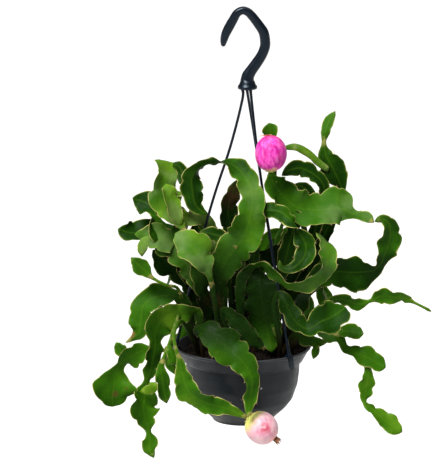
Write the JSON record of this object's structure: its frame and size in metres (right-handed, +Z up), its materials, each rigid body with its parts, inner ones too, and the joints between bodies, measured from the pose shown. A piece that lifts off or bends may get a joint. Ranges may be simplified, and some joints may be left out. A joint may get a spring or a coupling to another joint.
{
  "type": "potted monstrose epiphyllum guatemalense",
  "caption": "Jungle cactus with waved, notched, curling flat green stems and pink fruits, arching and trailing from a dark plastic hanging pot with strands and a hook.",
  "frame": {"origin": "top of the inside of the hook, where the rail or nail that carries it touches", "axes": "+Z up, +X to the viewer's right in the picture, +Y away from the viewer; the pot hangs on the Z axis below the origin"},
  "size_m": [0.3652, 0.2049, 0.4851],
  "materials": {
    "pot_plastic": "dark grey moulded plastic with a soft sheen",
    "hook_plastic": "dark blue-grey moulded plastic",
    "soil_dark": "dark brown crumbly bark and peat substrate",
    "leaf_green": "waxy green flat stems with pale tan margins",
    "fruit_magenta": "smooth bright pink fruit skin",
    "fruit_pale": "smooth pale pink fruit skin",
    "dry_brown": "dry papery brown"
  },
  "bodies": {
    "root": {"fruit_lower": "fruit_pale", "fruit_lower_remnant": "dry_brown", "fruit_upper": "fruit_magenta", "hanger_hook": "hook_plastic", "hanger_strand_back": "hook_plastic", "hanger_strand_left": "hook_plastic", "hanger_strand_right": "hook_plastic", "pot": "pot_plastic", "soil": "soil_dark", "stem_arch_right": "leaf_green", "stem_back_arch": "leaf_green", "stem_back_broad": "leaf_green", "stem_back_trailing_left": "leaf_green", "stem_back_trailing_right": "leaf_green", "stem_big_right": "leaf_green", "stem_bowl": "leaf_green", "stem_bright": "leaf_green", "stem_broad_left": "leaf_green", "stem_centre": "leaf_green", "stem_curve": "leaf_green", "stem_far_left": "leaf_green", "stem_front_broad": "leaf_green", "stem_front_low": "leaf_green", "stem_high_left": "leaf_green", "stem_high_right": "leaf_green", "stem_inner": "leaf_green", "stem_inner_left": "leaf_green", "stem_loop": "leaf_green", "stem_low_left": "leaf_green", "stem_low_right": "leaf_green", "stem_narrow": "leaf_green", "stem_pale_left": "leaf_green", "stem_point_left": "leaf_green", "stem_rim_right": "leaf_green", "stem_ring_right": "leaf_green", "stem_rolled": "leaf_green", "stem_russet": "leaf_green", "stem_side_left": "leaf_green", "stem_side_right": "leaf_green", "stem_smile": "leaf_green", "stem_trailing_left": "leaf_green", "stem_trailing_right": "leaf_green", "stem_upright_right": "leaf_green"}
  },
  "joints": []
}
